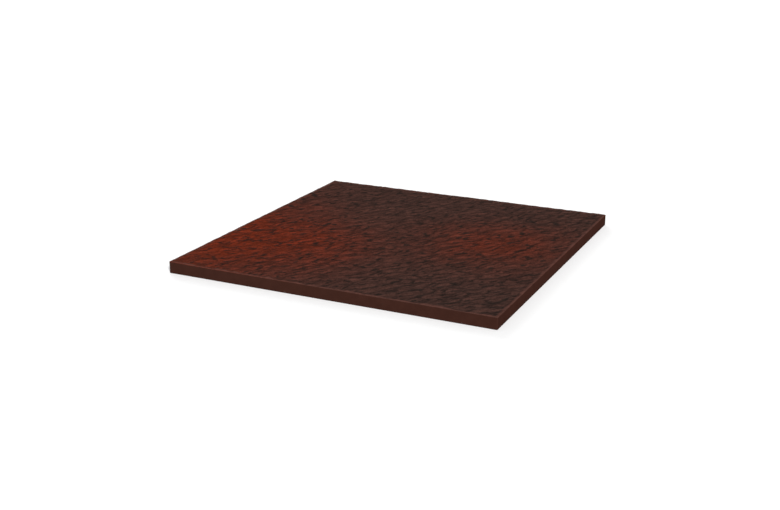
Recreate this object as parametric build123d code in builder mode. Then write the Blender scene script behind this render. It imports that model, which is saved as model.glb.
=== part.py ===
"""Clinker floor tile: one dry-pressed and fired slab with eased edges and a keyed back.

The tile lies face up. The origin is the middle of the bedding face, X and Y run along
the two sides, and +Z points up through the face that is walked on. Millimetres.
"""

import os

from build123d import *

# Slab
SIDE_LENGTH = 300.0  # each plan side, over the upright faces
THICKNESS = 11.0  # bedding face to the crown of the top face
EDGE_RADIUS = 1.0  # rounding of the upright corners and of the edge round the top face
BACK_CHAMFER = 0.4  # bevel round the bedding face, left by the lower punch

# Keyed back: square cells pressed into the bedding face, with a grid of ribs between them
CELLS_PER_SIDE = 7
RIM_WIDTH = 10.5  # plain band between the outer cells and the tile's edge
RIB_WIDTH = 4.5  # between two neighbouring cells, on the bedding face
CELL_CORNER_RADIUS = 3.0  # cell mouth, in plan
CELL_DEPTH = 0.9  # bedding face to the cell floor
CELL_DRAFT = 30.0  # lean of the cell walls in degrees, so that the punch lets go

# The cells share what the rim and the ribs leave of the bedding face
ribs_across = (CELLS_PER_SIDE - 1) * RIB_WIDTH
cell_side = (SIDE_LENGTH - 2 * RIM_WIDTH - ribs_across) / CELLS_PER_SIDE
cell_pitch = cell_side + RIB_WIDTH

# The stud of the lower punch that presses one cell: its foot is the cell mouth
with BuildPart() as punch_stud:
    with BuildSketch():
        RectangleRounded(cell_side, cell_side, CELL_CORNER_RADIUS)
    extrude(amount=CELL_DEPTH, taper=CELL_DRAFT)

with BuildPart() as clinker_tile:
    # The pressed slab
    with BuildSketch():
        Rectangle(SIDE_LENGTH, SIDE_LENGTH)
    extrude(amount=THICKNESS)

    # Upright corners and the edge round the top face share the die's rounding
    upright_edges = edges().filter_by(Axis.Z)
    top_edges = faces().sort_by(Axis.Z)[-1].edges()
    fillet(upright_edges + top_edges, EDGE_RADIUS)

    # Bevel round the bedding face
    chamfer(faces().sort_by(Axis.Z)[0].edges(), BACK_CHAMFER)

    # Keying cells, which leave a plain rim and a grid of ribs to bed on
    with GridLocations(cell_pitch, cell_pitch, CELLS_PER_SIDE, CELLS_PER_SIDE):
        add(punch_stud.part, mode=Mode.SUBTRACT)

clinker_tile.part.label = "clinker_tile"

os.makedirs("parts", exist_ok=True)
export_step(clinker_tile.part, "parts/clinker_tile.step")
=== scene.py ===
"""Looks of the clinker floor tile: the pressed slate relief, the flamed face and a plain studio.

The slab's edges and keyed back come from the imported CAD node. This script presses the relief into
its top face as real geometry, dresses the face and the clay body, and sets the photograph's view.
"""

import logging
import math
from dataclasses import dataclass, field
from enum import IntEnum

import bmesh
import bpy
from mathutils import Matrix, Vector, noise


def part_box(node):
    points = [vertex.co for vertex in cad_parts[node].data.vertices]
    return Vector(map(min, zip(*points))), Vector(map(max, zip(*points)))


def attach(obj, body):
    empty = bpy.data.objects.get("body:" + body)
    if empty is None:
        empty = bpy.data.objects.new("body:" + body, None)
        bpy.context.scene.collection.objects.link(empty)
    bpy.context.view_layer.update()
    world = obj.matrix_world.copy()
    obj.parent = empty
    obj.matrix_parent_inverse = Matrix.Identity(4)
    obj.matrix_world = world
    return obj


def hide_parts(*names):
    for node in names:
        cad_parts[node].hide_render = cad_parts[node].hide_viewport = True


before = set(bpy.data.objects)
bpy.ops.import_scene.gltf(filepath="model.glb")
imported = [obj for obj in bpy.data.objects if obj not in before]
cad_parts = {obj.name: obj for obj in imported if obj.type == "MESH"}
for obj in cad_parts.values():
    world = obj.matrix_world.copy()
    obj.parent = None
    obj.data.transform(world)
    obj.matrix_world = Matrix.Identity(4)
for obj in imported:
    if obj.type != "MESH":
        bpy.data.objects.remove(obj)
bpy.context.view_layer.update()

MM = 0.001

SLAB_NODE = "clinker_tile"
PIECE = "fired_tile"
BODY = "root"

# Attributes of the tile's mesh that its finishes read
RELIEF_ATTRIBUTE = "relief"
PIT_ATTRIBUTE = "pits"
# Which way each slope faces, for the face's painted light and painted shade
PAINTED_LIGHT_ATTRIBUTE = "painted_light_side"
WEAR_ATTRIBUTE = "wear"

BAKE_MAP = "OFBake"
CARRIED_NORMALS = "custom_normal"

SLATE_RUN = 52.0  # degrees from the tile's first side to the run of the slate
NOISE_SPAN = (0.3, 0.7)  # nearly all values of a noise lie in it
BELL_BASE = math.exp(-0.5)  # height of a bell curve one radius from its middle

Span = tuple[float, float]
Colour = tuple[float, float, float]
Socket = bpy.types.NodeSocket

log = logging.getLogger(SLAB_NODE)


class Zone(IntEnum):
    """Which finish a face of the tile wears, as its material slot."""

    FACE = 0
    BODY = 1


class Side(IntEnum):
    """The four upright edges of the tile, in the order of their patches on the layout."""

    FRONT = 0
    REAR = 1
    RIGHT = 2
    LEFT = 3


def linear(red: float, green: float, blue: float) -> Colour:
    """Turn a colour on the usual 0 to 255 screen scale into linear light.

    Args:
        red: Red on the screen scale.
        green: Green on the screen scale.
        blue: Blue on the screen scale.

    Returns:
        The colour in linear light, 0 to 1.
    """

    def channel(value: float) -> float:
        """Undo the standard screen curve of one channel."""
        share = value / 255.0
        return share / 12.92 if share <= 0.04045 else ((share + 0.055) / 1.055) ** 2.4

    return channel(red), channel(green), channel(blue)


def ease(low: float, high: float, value: float) -> float:
    """Go smoothly from 0 to 1 between two values.

    Args:
        low: Value at which the answer is 0.
        high: Value at which the answer is 1. It may be the smaller of the two.
        value: The value asked about.

    Returns:
        A share from 0 to 1.
    """
    share = min(max((value - low) / (high - low), 0.0), 1.0)
    return share * share * (3.0 - 2.0 * share)


def add_object(name: str, data: bpy.types.ID) -> bpy.types.Object:
    """Make an object and put it in the scene.

    Args:
        name: The object's name.
        data: Its mesh, light or camera.

    Returns:
        The new object.
    """
    made = bpy.data.objects.new(name, data)
    bpy.context.scene.collection.objects.link(made)
    return made


@dataclass(frozen=True)
class Cloud:
    """One noise of a finish: its cell in metres, its finer layers and how strong those are."""

    cell: float
    detail: float = 2.0
    rough: float = 0.5


class NodeSheet:
    """A node tree with short calls that place nodes and join their sockets."""

    # A Mix node has sockets for every sort of data, and these are the ones for colours
    MIX_SHARE = 0
    MIX_FIRST = 6
    MIX_SECOND = 7
    MIX_RESULT = 2

    def __init__(self, tree: bpy.types.NodeTree) -> None:
        """Keep the tree that the calls work on."""
        self.tree = tree

    def place(self, kind: str, **settings: object) -> bpy.types.Node:
        """Add a node and set its plain properties.

        Args:
            kind: Blender's name of the node type.
            **settings: Property names and values of the node.

        Returns:
            The new node.
        """
        node = self.tree.nodes.new(kind)
        for name, value in settings.items():
            setattr(node, name, value)
        return node

    def feed(self, socket: Socket, value: object) -> None:
        """Join a socket to another node's output, or give it a plain value.

        Args:
            socket: The input socket.
            value: An output socket, a number, a vector or a colour.
        """
        if isinstance(value, Socket):
            self.tree.links.new(value, socket)
        elif isinstance(socket, bpy.types.NodeSocketColor):
            socket.default_value = (*value, 1.0)
        else:
            socket.default_value = value

    def attribute(self, name: str) -> Socket:
        """Read one of the mesh's own attributes as a number."""
        return self.place("ShaderNodeAttribute", attribute_name=name).outputs["Fac"]

    def calculate(self, operation: str, first: object, second: object) -> Socket:
        """Work out one step of arithmetic.

        Args:
            operation: Blender's name of the step, such as MULTIPLY.
            first: Socket or number.
            second: Socket or number.

        Returns:
            The result's socket.
        """
        node = self.place("ShaderNodeMath", operation=operation)
        self.feed(node.inputs[0], first)
        self.feed(node.inputs[1], second)
        return node.outputs[0]

    def vectors(self, operation: str, *values: object) -> bpy.types.Node:
        """Work out one step of arithmetic on vectors.

        Args:
            operation: Blender's name of the step, such as SUBTRACT.
            *values: Sockets or vectors, in the node's order.

        Returns:
            The node, whose output is a vector or a number by its operation.
        """
        node = self.place("ShaderNodeVectorMath", operation=operation)
        for socket, value in zip(node.inputs, values):
            self.feed(socket, value)
        return node

    def remap(self, value: Socket, span: Span, target: Span) -> Socket:
        """Map a value smoothly and within bounds from one range to another.

        Args:
            value: Socket to map.
            span: Start and end of the range it has.
            target: What the start and the end become.

        Returns:
            The mapped value's socket.
        """
        node = self.place("ShaderNodeMapRange", interpolation_type="SMOOTHSTEP")
        for socket, number in zip(node.inputs, (value, *span, *target)):
            self.feed(socket, number)
        return node.outputs[0]

    def mix(self, share: object, first: object, second: object, blend: str = "MIX") -> Socket:
        """Mix two colours.

        Args:
            share: Socket or number, the second colour's share.
            first: Colour or socket.
            second: Colour or socket.
            blend: Blender's name of the way of mixing.

        Returns:
            The mixed colour's socket.
        """
        node = self.place("ShaderNodeMix", data_type="RGBA", blend_type=blend)
        self.feed(node.inputs[self.MIX_SHARE], share)
        self.feed(node.inputs[self.MIX_FIRST], first)
        self.feed(node.inputs[self.MIX_SECOND], second)
        return node.outputs[self.MIX_RESULT]

    def tint(self, colour: object, tint: Socket) -> Socket:
        """Multiply a colour by a tint or a shade."""
        return self.mix(1.0, colour, tint, "MULTIPLY")

    def noise(self, vector: Socket, cloud: Cloud, output: str = "Fac") -> Socket:
        """Place a noise whose cells have a real size.

        Args:
            vector: Socket of the coordinates, in metres.
            cloud: The noise's size and layers.
            output: Which of the noise's outputs is wanted.

        Returns:
            The output's socket, about 0.5 on average.
        """
        node = self.place("ShaderNodeTexNoise")
        self.feed(node.inputs["Vector"], vector)
        self.feed(node.inputs["Scale"], 1.0 / cloud.cell)
        self.feed(node.inputs["Detail"], cloud.detail)
        self.feed(node.inputs["Roughness"], cloud.rough)
        return node.outputs[output]

    def bump(self, height: Socket, distance: float, under: Socket | None = None) -> Socket:
        """Place a bump.

        Args:
            height: Socket of the height, 0 to 1.
            distance: What a height of 1 measures, in metres.
            under: Socket of the normal that the bump lies on, if it isn't the surface's own.

        Returns:
            The bumped normal's socket.
        """
        node = self.place("ShaderNodeBump")
        self.feed(node.inputs["Distance"], distance)
        self.feed(node.inputs["Height"], height)
        if under is not None:
            self.feed(node.inputs["Normal"], under)
        return node.outputs["Normal"]


def new_material(name: str) -> tuple[bpy.types.Material, NodeSheet, bpy.types.Node]:
    """Make a material.

    Args:
        name: The material's name.

    Returns:
        The material, the sheet of its nodes and its shader.
    """
    material = bpy.data.materials.new(name)
    material.use_nodes = True
    tree = material.node_tree
    return material, NodeSheet(tree), tree.nodes["Principled BSDF"]


@dataclass(frozen=True)
class FiredGrain:
    """The grain of pressed and fired clay, shared by the face and the body as one node group."""

    mottle: Cloud = Cloud(9.0 * MM, 4.0, 0.6)
    specks: Cloud = Cloud(2.6 * MM, 2.0, 0.55)
    speck_span: Span = (0.64, 0.72)
    grit: Cloud = Cloud(1.6 * MM, 3.0, 0.65)

    def group(self) -> bpy.types.NodeTree:
        """Build the group once.

        Returns:
            The node group, which puts out a cloudy mottle, dark specks and a grit height.
        """
        tree = bpy.data.node_groups.new("fired_grain", "ShaderNodeTree")
        tree.interface.new_socket("Vector", in_out="INPUT", socket_type="NodeSocketVector")
        for name in ("Mottle", "Specks", "Grit"):
            tree.interface.new_socket(name, in_out="OUTPUT", socket_type="NodeSocketFloat")
        sheet = NodeSheet(tree)
        place = sheet.place("NodeGroupInput").outputs["Vector"]
        ends = sheet.place("NodeGroupOutput")
        specks = sheet.noise(place, self.specks)
        sheet.feed(ends.inputs["Mottle"], sheet.noise(place, self.mottle))
        sheet.feed(ends.inputs["Specks"], sheet.remap(specks, self.speck_span, (0.0, 1.0)))
        sheet.feed(ends.inputs["Grit"], sheet.noise(place, self.grit))
        return tree


@dataclass(frozen=True)
class FlamePatch:
    """One soft patch on the face where the kiln's flames left the clay red. Lengths in millimetres."""

    centre: tuple[float, float]
    radii: tuple[float, float]
    turn: float
    strength: float

    def mask(self, sheet: NodeSheet, vector: Socket) -> Socket:
        """Place the patch in a material.

        Args:
            sheet: The material's nodes.
            vector: Socket of the coordinates on the face, in metres.

        Returns:
            Socket of the patch's strength over the face.
        """
        mapping = sheet.place("ShaderNodeMapping", vector_type="TEXTURE")
        sheet.feed(mapping.inputs["Vector"], vector)
        sheet.feed(mapping.inputs["Location"], (self.centre[0] * MM, self.centre[1] * MM, 0.0))
        sheet.feed(mapping.inputs["Rotation"], (0.0, 0.0, math.radians(self.turn)))
        sheet.feed(mapping.inputs["Scale"], (self.radii[0] * MM, self.radii[1] * MM, 1.0))
        flat = sheet.vectors("MULTIPLY", mapping.outputs["Vector"], (1.0, 1.0, 0.0)).outputs["Vector"]
        square = sheet.vectors("DOT_PRODUCT", flat, flat).outputs["Value"]
        bell = sheet.calculate("POWER", BELL_BASE, square)
        return sheet.calculate("MULTIPLY", bell, self.strength)


@dataclass(frozen=True)
class FlamedFace:
    """The finish of the top face: dark fired brown with red flames that soften into it.

    Spans of the relief run from 0 in its deepest pits to 1 on its highest crowns, and those of the
    painted light from 0 on slopes turned away from its direction to 1 on slopes that face it.
    """

    # Flames
    flames: tuple[FlamePatch, ...] = (
        FlamePatch((-143.0, -66.0), (54.0, 92.0), 20.0, 1.08),
        FlamePatch((-54.0, -50.0), (35.0, 45.0), 40.0, 0.48),
        FlamePatch((86.0, 14.0), (48.0, 42.0), 0.0, 0.64),
    )
    flame_sway: float = 16.0 * MM
    sway: Cloud = Cloud(45.0 * MM)
    flame_breaks: Span = (0.85, 1.15)
    crown_span: Span = (0.4, 0.75)
    crown_flames: Span = (0.95, 1.0)

    # Colours
    brown: Colour = linear(62, 43.8, 39)
    red: Colour = linear(94, 38, 24)
    # Colour of the clay's dark specks, and painted shade in the hollows of the relief
    speck_and_hollow_shade: Colour = linear(40, 31, 28)
    # Painted shade on slopes turned away from the painted light, and in the pits
    painted_shade: Colour = linear(36, 30, 27)
    worn: Colour = linear(88, 57, 50)
    # Painted shade and painted light that tint each slope by which way it faces
    painted_shade_tint: Colour = (0.58, 0.76, 0.81)
    painted_light_tint: Colour = (1.33, 1.16, 1.11)

    # How far the painted shade, the grain and the worn colour cover
    painted_shade_span: Span = (0.36, 0.10)
    painted_shade_cover: Span = (0.0, 0.5)
    hollow_shade_span: Span = (0.5, 0.1)
    hollow_shade_cover: Span = (0.0, 0.3)
    pit_painted_shade: float = 0.85
    mottle_shades: Span = (0.93, 1.07)
    grit_shades: Span = (0.80, 1.20)
    speck_cover: float = 0.35
    wear_span: Span = (0.3, 0.65)
    wear_cover: Span = (0.5, 1.0)

    # Surface
    ripple: Cloud = Cloud(3.6 * MM)
    ripple_stretch: float = 3.0
    ripple_height: float = 1.2 * MM
    grit_height: float = 0.20 * MM
    rough_span: Span = (0.2, 0.9)
    roughness: Span = (0.86, 0.62)
    gloss: float = 0.0

    def material(self, group: bpy.types.NodeTree) -> bpy.types.Material:
        """Build the material.

        Args:
            group: The shared grain.

        Returns:
            The material of the top face.
        """
        material, sheet, shader = new_material("flamed_face")
        place = sheet.place("ShaderNodeTexCoord").outputs["Object"]
        relief = sheet.attribute(RELIEF_ATTRIBUTE)
        grain = sheet.place("ShaderNodeGroup", node_tree=group)
        sheet.feed(grain.inputs["Vector"], place)

        red_share = self.flame_share(sheet, place, grain.outputs["Mottle"])
        fired = self.fired_and_painted_light_colour(sheet, relief, red_share)
        sheet.feed(shader.inputs["Base Color"], self.worn_colour(sheet, fired, grain))
        sheet.feed(shader.inputs["Roughness"], sheet.remap(relief, self.rough_span, self.roughness))
        ripples = sheet.bump(self.ripples(sheet, place), self.ripple_height)
        grit = sheet.bump(grain.outputs["Grit"], self.grit_height, ripples)
        sheet.feed(shader.inputs["Normal"], grit)
        sheet.feed(shader.inputs["Specular IOR Level"], self.gloss)
        return material

    def flame_share(self, sheet: NodeSheet, place: Socket, mottle: Socket) -> Socket:
        """Work out how red the face is from place to place.

        Args:
            sheet: The material's nodes.
            place: Socket of the Object coordinates.
            mottle: Socket of the shared mottle.

        Returns:
            Socket of the red share, 0 to 1.
        """
        sway = sheet.noise(place, self.sway, "Color")
        centred = sheet.vectors("SUBTRACT", sway, (0.5, 0.5, 0.5)).outputs["Vector"]
        reach = (2.0 * self.flame_sway,) * 3
        swayed = sheet.vectors("MULTIPLY_ADD", centred, reach, place).outputs["Vector"]
        total = self.flames[0].mask(sheet, swayed)
        for flame in self.flames[1:]:
            total = sheet.calculate("ADD", total, flame.mask(sheet, swayed))
        breaks = sheet.remap(mottle, NOISE_SPAN, self.flame_breaks)
        return sheet.calculate("MINIMUM", sheet.calculate("MULTIPLY", total, breaks), 1.0)

    def fired_and_painted_light_colour(self, sheet: NodeSheet, relief: Socket, red_share: Socket) -> Socket:
        """Colour the relief as the kiln left it, and paint light and shade on its slopes, hollows and
        pits.

        Args:
            sheet: The material's nodes.
            relief: Socket of the relief's level.
            red_share: Socket of how red the face is.

        Returns:
            Socket of the fired colour with its painted light and shade.
        """
        crowns = sheet.remap(relief, self.crown_span, self.crown_flames)
        colour = sheet.mix(sheet.calculate("MULTIPLY", red_share, crowns), self.brown, self.red)
        # Painted light on slopes facing one fixed direction, painted shade on slopes turned away
        painted_light = sheet.attribute(PAINTED_LIGHT_ATTRIBUTE)
        colour = sheet.tint(colour, sheet.mix(painted_light, self.painted_shade_tint, self.painted_light_tint))
        colour = sheet.mix(sheet.remap(painted_light, self.painted_shade_span, self.painted_shade_cover), colour, self.painted_shade)
        # Painted shade in the hollows of the relief, more of it the deeper they lie
        hollows = sheet.remap(relief, self.hollow_shade_span, self.hollow_shade_cover)
        colour = sheet.mix(hollows, colour, self.speck_and_hollow_shade)
        # Painted shade in the pits of the relief
        pits = sheet.calculate("MULTIPLY", sheet.attribute(PIT_ATTRIBUTE), self.pit_painted_shade)
        return sheet.mix(pits, colour, self.painted_shade)

    def worn_colour(self, sheet: NodeSheet, fired: Socket, grain: bpy.types.Node) -> Socket:
        """Add the grain of the clay, and the wear along the edges.

        Args:
            sheet: The material's nodes.
            fired: Socket of the fired colour with its painted light and shade.
            grain: The shared grain's node.

        Returns:
            Socket of the finished colour.
        """
        mottle = grain.outputs["Mottle"]
        colour = sheet.tint(fired, sheet.remap(mottle, NOISE_SPAN, self.mottle_shades))
        grit = sheet.remap(grain.outputs["Grit"], NOISE_SPAN, self.grit_shades)
        colour = sheet.tint(colour, grit)
        specks = sheet.calculate("MULTIPLY", grain.outputs["Specks"], self.speck_cover)
        # Dark specks of the clay, in the colour that also paints shade in the hollows
        colour = sheet.mix(specks, colour, self.speck_and_hollow_shade)
        cover = sheet.remap(mottle, self.wear_span, self.wear_cover)
        wear = sheet.calculate("MULTIPLY", sheet.attribute(WEAR_ATTRIBUTE), cover)
        return sheet.mix(wear, colour, self.worn)

    def ripples(self, sheet: NodeSheet, place: Socket) -> Socket:
        """Place the fine ripples that follow the run of the slate.

        Args:
            sheet: The material's nodes.
            place: Socket of the Object coordinates.

        Returns:
            Socket of the ripples' height, 0 to 1.
        """
        run = sheet.place("ShaderNodeMapping", vector_type="TEXTURE")
        sheet.feed(run.inputs["Vector"], place)
        sheet.feed(run.inputs["Rotation"], (0.0, 0.0, math.radians(SLATE_RUN)))
        sheet.feed(run.inputs["Scale"], (self.ripple_stretch, 1.0, 1.0))
        return sheet.noise(run.outputs["Vector"], self.ripple)


@dataclass(frozen=True)
class ClayBody:
    """The finish of the edges and the back: plain fired clay, as it left the press."""

    clay: Colour = linear(55.8, 32.6, 26.4)
    ash: Colour = linear(50, 34, 29)
    mottle_shades: Span = (0.93, 1.07)
    speck_cover: float = 0.3
    grit_height: float = 0.08 * MM
    roughness: Span = (0.84, 0.74)
    gloss: float = 0.0

    def material(self, group: bpy.types.NodeTree) -> bpy.types.Material:
        """Build the material.

        Args:
            group: The shared grain.

        Returns:
            The material of the edges and the back.
        """
        material, sheet, shader = new_material("clay_body")
        place = sheet.place("ShaderNodeTexCoord").outputs["Object"]
        grain = sheet.place("ShaderNodeGroup", node_tree=group)
        sheet.feed(grain.inputs["Vector"], place)

        mottle = grain.outputs["Mottle"]
        colour = sheet.tint(self.clay, sheet.remap(mottle, NOISE_SPAN, self.mottle_shades))
        specks = sheet.calculate("MULTIPLY", grain.outputs["Specks"], self.speck_cover)
        sheet.feed(shader.inputs["Base Color"], sheet.mix(specks, colour, self.ash))
        sheet.feed(shader.inputs["Roughness"], sheet.remap(mottle, NOISE_SPAN, self.roughness))
        sheet.feed(shader.inputs["Normal"], sheet.bump(grain.outputs["Grit"], self.grit_height))
        sheet.feed(shader.inputs["Specular IOR Level"], self.gloss)
        return material


@dataclass(frozen=True)
class Flake:
    """One size of flake in the slate relief. Lengths in millimetres."""

    cell: float
    stretch: float
    depth: float
    lean: float
    seed: tuple[float, float, float]

    def height(self, here: Vector) -> float:
        """Give the flakes' height, with their steep sides leaning one way.

        Args:
            here: Place along and across the run of the slate.

        Returns:
            Height above or below the middle level.
        """
        spot = Vector((here.x / self.stretch, here.y, 0.0)) / self.cell + Vector(self.seed)
        spot.y += self.lean * noise.noise(spot)
        return self.depth * noise.noise(spot)


@dataclass(frozen=True)
class SlateRelief:
    """The slate-like relief that the upper punch leaves on the face. Lengths in millimetres."""

    wander_cell: float = 26.0
    wander: float = 5.0
    wander_seed: int = 1
    flakes: tuple[Flake, ...] = (
        Flake(30.0, 2.3, 0.25, 0.0, (1.3, 2.9, 8.1)),
        Flake(14.0, 2.4, 0.35, -0.20, (6.4, 3.3, 2.7)),
        Flake(4.6, 2.6, 1.60, -0.35, (3.1, 7.7, 0.4)),
        Flake(2.6, 3.0, 0.60, -0.25, (5.9, 0.7, 4.2)),
        Flake(1.6, 2.4, 0.20, -0.20, (2.2, 6.1, 5.5)),
    )
    pits: Flake = Flake(2.0, 3.4, 1.0, 0.0, (9.2, 4.4, 1.8))
    pit_swarms: Flake = Flake(14.0, 1.7, 0.14, 0.0, (4.0, 1.0, 7.0))
    pit_depth: float = 0.5
    pit_mouth: float = 0.15
    pit_floor: float = 0.32
    mean_depth: float = 0.82
    deepest: float = 1.9

    def sample(self, x: float, y: float) -> tuple[float, float]:
        """Give the depth of the relief below its crowns, and how far the place lies in a pit.

        Args:
            x: Place along the tile's first side.
            y: Place along its second side.

        Returns:
            Depth, from 0 on the highest crowns to the deepest pit, and the pit's share, 0 to 1.
        """
        turn = math.radians(SLATE_RUN)
        along = x * math.cos(turn) + y * math.sin(turn)
        across = y * math.cos(turn) - x * math.sin(turn)
        here = Vector((along, across, 0.0))
        here += self.wander * noise.noise_vector(here / self.wander_cell)
        hole = self.pits.height(here) + self.pit_swarms.height(here)
        pit = ease(self.pit_mouth, self.pit_floor, hole)
        height = sum(flake.height(here) for flake in self.flakes) - self.pit_depth * pit
        return min(max(self.mean_depth - height, 0.0), self.deepest), pit


@dataclass(frozen=True)
class MapPatch:
    """One rectangle of the flat layout that the finishes are baked on."""

    left: float
    foot: float
    width: float
    height: float

    def spot(self, along: float, up: float) -> tuple[float, float]:
        """Give the place on the layout of a place on the patch, both as shares from 0 to 1."""
        return self.left + along * self.width, self.foot + up * self.height


@dataclass
class FiredTile:
    """The tile itself: the CAD slab with the relief pressed into its face. Angles in degrees."""

    slab: bpy.types.Object
    relief: SlateRelief

    # Mesh
    merge_gap: float = 0.002 * MM
    flat_angle: float = 1.0
    crease_angle: float = 40.0
    face_cuts: int = 279
    wall_foot: float = 0.2 * MM
    top_lean: float = 0.3

    # Edge round the face, where the relief runs out, and the wear along it
    edge_radius: float = 1.0 * MM
    edge_slack: float = 0.001 * MM
    edge_drop: float = 0.3 * MM
    edge_share: float = 0.25
    edge_band: float = 3.5 * MM
    wear_core: float = 1.4 * MM
    wear_band: float = 3.4 * MM
    wear_rise: Span = (0.2, 1.0)

    # What the finishes read off the face
    plain_level: float = 0.5
    # Direction whose facing slopes get painted light, and the painted light's share on level ground
    painted_light_turn: float = -45.0
    level_painted_light: float = 0.5

    # Layout for the bake
    face_patch: MapPatch = MapPatch(0.005, 0.005, 0.790, 0.790)
    back_patch: MapPatch = MapPatch(0.810, 0.005, 0.185, 0.790)
    edge_patches: tuple[MapPatch, ...] = (
        MapPatch(0.005, 0.810, 0.990, 0.040),
        MapPatch(0.005, 0.858, 0.990, 0.040),
        MapPatch(0.005, 0.906, 0.990, 0.040),
        MapPatch(0.005, 0.954, 0.990, 0.040),
    )

    # Outer sizes, taken from the CAD node
    half_side: float = field(init=False)
    crown: float = field(init=False)

    def __post_init__(self) -> None:
        """Take the slab's outer sizes from the CAD node."""
        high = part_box(SLAB_NODE)[1]
        self.half_side = high.x
        self.crown = high.z

    def build(self) -> bpy.types.Object:
        """Model the tile.

        Returns:
            The tile's object, undressed.
        """
        shape = bmesh.new()
        shape.from_mesh(self.slab.data)
        bmesh.ops.remove_doubles(shape, verts=shape.verts, dist=self.merge_gap)
        flat = math.radians(self.flat_angle)
        bmesh.ops.dissolve_limit(shape, angle_limit=flat, verts=shape.verts, edges=shape.edges)
        self.divide(shape)
        self.press(shape)
        self.painted_light(shape)
        self.zone(shape)
        self.lay_out(shape)
        mesh = bpy.data.meshes.new(PIECE)
        shape.to_mesh(mesh)
        shape.free()

        # The slab's mesh brings normals of its own, which don't fit the new faces
        carried = mesh.attributes.get(CARRIED_NORMALS)
        if carried is not None:
            mesh.attributes.remove(carried)
        mesh.set_sharp_from_angle(angle=math.radians(self.crease_angle))
        return add_object(PIECE, mesh)

    def divide(self, shape: bmesh.types.BMesh) -> None:
        """Divide the top face and the edges beside it into a fine even grid.

        Args:
            shape: The slab.
        """
        long_edge = self.half_side
        edges = [
            edge
            for edge in shape.edges
            if edge.calc_length() > long_edge and min(vert.co.z for vert in edge.verts) > self.wall_foot
        ]
        bmesh.ops.subdivide_edges(shape, edges=edges, cuts=self.face_cuts, use_grid_fill=True)

    def press(self, shape: bmesh.types.BMesh) -> None:
        """Press the relief into the face and ease it towards the straight edges.

        Args:
            shape: The slab with its fine grid.
        """
        level = shape.verts.layers.float.new(RELIEF_ATTRIBUTE)
        pits = shape.verts.layers.float.new(PIT_ATTRIBUTE)
        wear = shape.verts.layers.float.new(WEAR_ATTRIBUTE)
        foot = self.crown - self.edge_radius

        # Unseeded, Blender's vector noise differs from run to run
        noise.seed_set(self.relief.wander_seed)
        for vert in shape.verts:
            vert[level] = self.plain_level
            if vert.co.z <= foot + self.edge_slack:
                continue
            inset = self.half_side - max(abs(vert.co.x), abs(vert.co.y))
            depth, pit = self.relief.sample(vert.co.x / MM, vert.co.y / MM)
            inward = ease(self.edge_radius, self.edge_band, inset)
            share = self.edge_share + (1.0 - self.edge_share) * inward
            drop = self.edge_drop + (depth * MM - self.edge_drop) * share
            rise = (vert.co.z - foot) / self.edge_radius
            vert.co.z -= drop * min(rise, 1.0)
            vert[level] = 1.0 - drop / (self.relief.deepest * MM)
            vert[pits] = pit * share
            vert[wear] = ease(self.wear_band, self.wear_core, inset) * ease(*self.wear_rise, rise)
        shape.normal_update()

    def painted_light(self, shape: bmesh.types.BMesh) -> None:
        """Mark which slopes get painted light and which get painted shade, by the way they face.

        Args:
            shape: The pressed tile.
        """
        layer = shape.verts.layers.float.new(PAINTED_LIGHT_ATTRIBUTE)
        turn = math.radians(self.painted_light_turn)
        source = Vector((math.cos(turn), math.sin(turn), 0.0))
        for vert in shape.verts:
            vert[layer] = min(max(self.level_painted_light + vert.normal.dot(source), 0.0), 1.0)

    def zone(self, shape: bmesh.types.BMesh) -> None:
        """Say which finish each face wears.

        Args:
            shape: The pressed tile.
        """
        middle = 0.5 * self.crown
        for face in shape.faces:
            face.smooth = True
            on_top = face.calc_center_median().z > middle and face.normal.z > self.top_lean
            face.material_index = Zone.FACE if on_top else Zone.BODY

    def lay_out(self, shape: bmesh.types.BMesh) -> None:
        """Lay the face, the back and the four edges out flat for the bake.

        Args:
            shape: The pressed tile with its finishes.
        """
        layer = shape.loops.layers.uv.new(BAKE_MAP)
        for face in shape.faces:
            for loop in face.loops:
                loop[layer].uv = self.flat_spot(face, loop.vert.co)

    def flat_spot(self, face: bmesh.types.BMFace, point: Vector) -> tuple[float, float]:
        """Find where a corner of a face lies on the flat layout.

        Args:
            face: A face of the tile.
            point: One of its corners.

        Returns:
            The place on the layout.
        """
        along = 0.5 + 0.5 * point.x / self.half_side
        across = 0.5 + 0.5 * point.y / self.half_side
        if face.material_index == Zone.FACE:
            return self.face_patch.spot(along, across)
        if face.normal.z < -self.top_lean:
            return self.back_patch.spot(1.0 - along, across)
        if abs(face.normal.y) >= abs(face.normal.x):
            side = Side.FRONT if face.normal.y < 0.0 else Side.REAR
            reach = along if side is Side.FRONT else 1.0 - along
        else:
            side = Side.RIGHT if face.normal.x > 0.0 else Side.LEFT
            reach = across if side is Side.RIGHT else 1.0 - across
        return self.edge_patches[side].spot(reach, point.z / self.crown)


@dataclass(frozen=True)
class Lamp:
    """One soft, far light. Its turn from +X towards +Y, its height and its spread are in degrees."""

    name: str
    turn: float
    height: float
    strength: float
    spread: float
    reach: float = 2.0

    def hang(self) -> None:
        """Hang the light so that it shines on the tile."""
        light = bpy.data.lights.new(self.name, "SUN")
        light.energy = self.strength
        light.angle = math.radians(self.spread)
        turn, height = math.radians(self.turn), math.radians(self.height)
        level = math.cos(height)
        source = Vector((level * math.cos(turn), level * math.sin(turn), math.sin(height)))
        lamp = add_object(self.name, light)
        lamp.location = source * self.reach
        lamp.rotation_euler = (-source).to_track_quat("-Z", "Y").to_euler()


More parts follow.
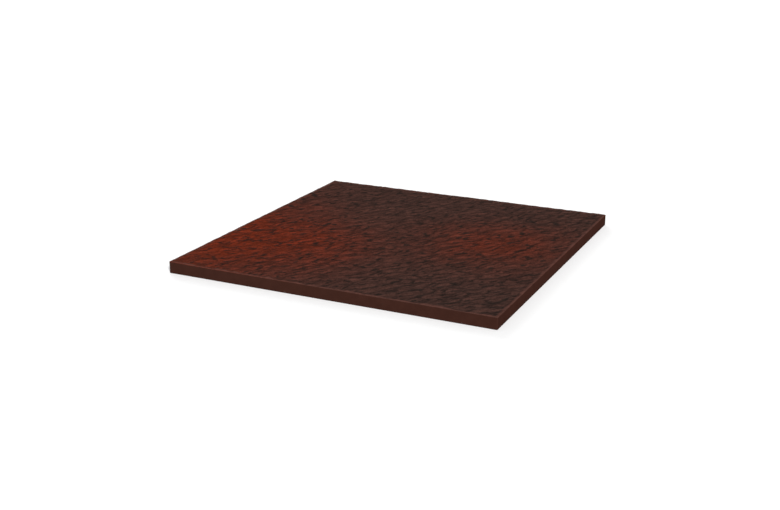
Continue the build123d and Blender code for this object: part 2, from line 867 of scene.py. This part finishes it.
@dataclass(frozen=True)
class Studio:
    """A plain pale floor and soft even light."""

    floor_half: float = 30.0
    floor_colour: Colour = (1.0, 1.0, 1.0)
    bounce_colour: Colour = (0.68, 0.68, 0.68)
    floor_roughness: float = 1.0
    floor_gloss: float = 0.0
    lamps: tuple[Lamp, ...] = (
        Lamp("key", -50.0, 32.0, 4.05, 14.0),
        Lamp("fill", 132.0, 15.0, 1.6, 40.0),
    )
    sky_colour: Colour = (1.0, 1.0, 1.0)
    sky_strengths: Span = (0.28, 1.0)

    def build(self) -> None:
        """Lay the floor and hang the lights."""
        self.lay_floor()
        for lamp in self.lamps:
            lamp.hang()
        self.light_sky()

    def lay_floor(self) -> None:
        """Lay the floor under the tile."""
        shape = bmesh.new()
        bmesh.ops.create_grid(shape, x_segments=1, y_segments=1, size=self.floor_half)
        mesh = bpy.data.meshes.new("floor")
        shape.to_mesh(mesh)
        shape.free()
        floor = add_object("floor", mesh)
        material, sheet, shader = new_material("pale_floor")
        colour = sheet.mix(self.seen(sheet), self.bounce_colour, self.floor_colour)
        sheet.feed(shader.inputs["Base Color"], colour)
        sheet.feed(shader.inputs["Roughness"], self.floor_roughness)
        sheet.feed(shader.inputs["Specular IOR Level"], self.floor_gloss)
        mesh.materials.append(material)

    def light_sky(self) -> None:
        """Light the tile softly from all round, with a white backdrop for the camera."""
        world = bpy.data.worlds.new("studio")
        world.use_nodes = True
        bpy.context.scene.world = world
        sheet = NodeSheet(world.node_tree)
        back = world.node_tree.nodes["Background"]
        strength = sheet.remap(self.seen(sheet), (0.0, 1.0), self.sky_strengths)
        sheet.feed(back.inputs["Color"], self.sky_colour)
        sheet.feed(back.inputs["Strength"], strength)

    def seen(self, sheet: NodeSheet) -> Socket:
        """Tell rays that show the backdrop from those that only carry light.

        Args:
            sheet: The nodes of the floor's material or of the sky.

        Returns:
            Socket that is 1 for camera, mirror and glass rays.
        """
        rays = sheet.place("ShaderNodeLightPath").outputs
        seen = sheet.calculate("MAXIMUM", rays["Is Camera Ray"], rays["Is Glossy Ray"])
        return sheet.calculate("MAXIMUM", seen, rays["Is Transmission Ray"])


@dataclass(frozen=True)
class PhotoView:
    """The camera at the photograph's viewing angle."""

    stand: tuple[float, float, float] = (0.4204, -0.9019, 0.3274)
    gaze: tuple[float, float, float] = (-0.4094, 0.8548, -0.3189)
    lens: float = 52.60
    sensor: float = 36.0

    def build(self) -> None:
        """Set the camera up and make it the scene's own."""
        camera = bpy.data.cameras.new("photo_view")
        camera.lens = self.lens
        camera.sensor_width = self.sensor
        camera.sensor_fit = "HORIZONTAL"
        stand = add_object("photo_view", camera)
        stand.location = self.stand
        stand.rotation_euler = Vector(self.gaze).to_track_quat("-Z", "Y").to_euler()
        bpy.context.scene.camera = stand


def main() -> None:
    """Build the tile, its finishes, the studio and the view in order."""
    logging.basicConfig(level=logging.INFO, format="%(name)s: %(message)s")
    bpy.context.scene.view_settings.view_transform = "Standard"

    group = FiredGrain().group()
    tile = FiredTile(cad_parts[SLAB_NODE], SlateRelief()).build()
    for finish in (FlamedFace(), ClayBody()):  # in the order of Zone
        tile.data.materials.append(finish.material(group))
    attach(tile, BODY)
    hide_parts(SLAB_NODE)
    log.info("fired tile: %d faces", len(tile.data.polygons))

    Studio().build()
    log.info("studio: floor, two lights and sky")
    PhotoView().build()
    log.info("photo view: camera set")


if __name__ == "__main__":
    main()
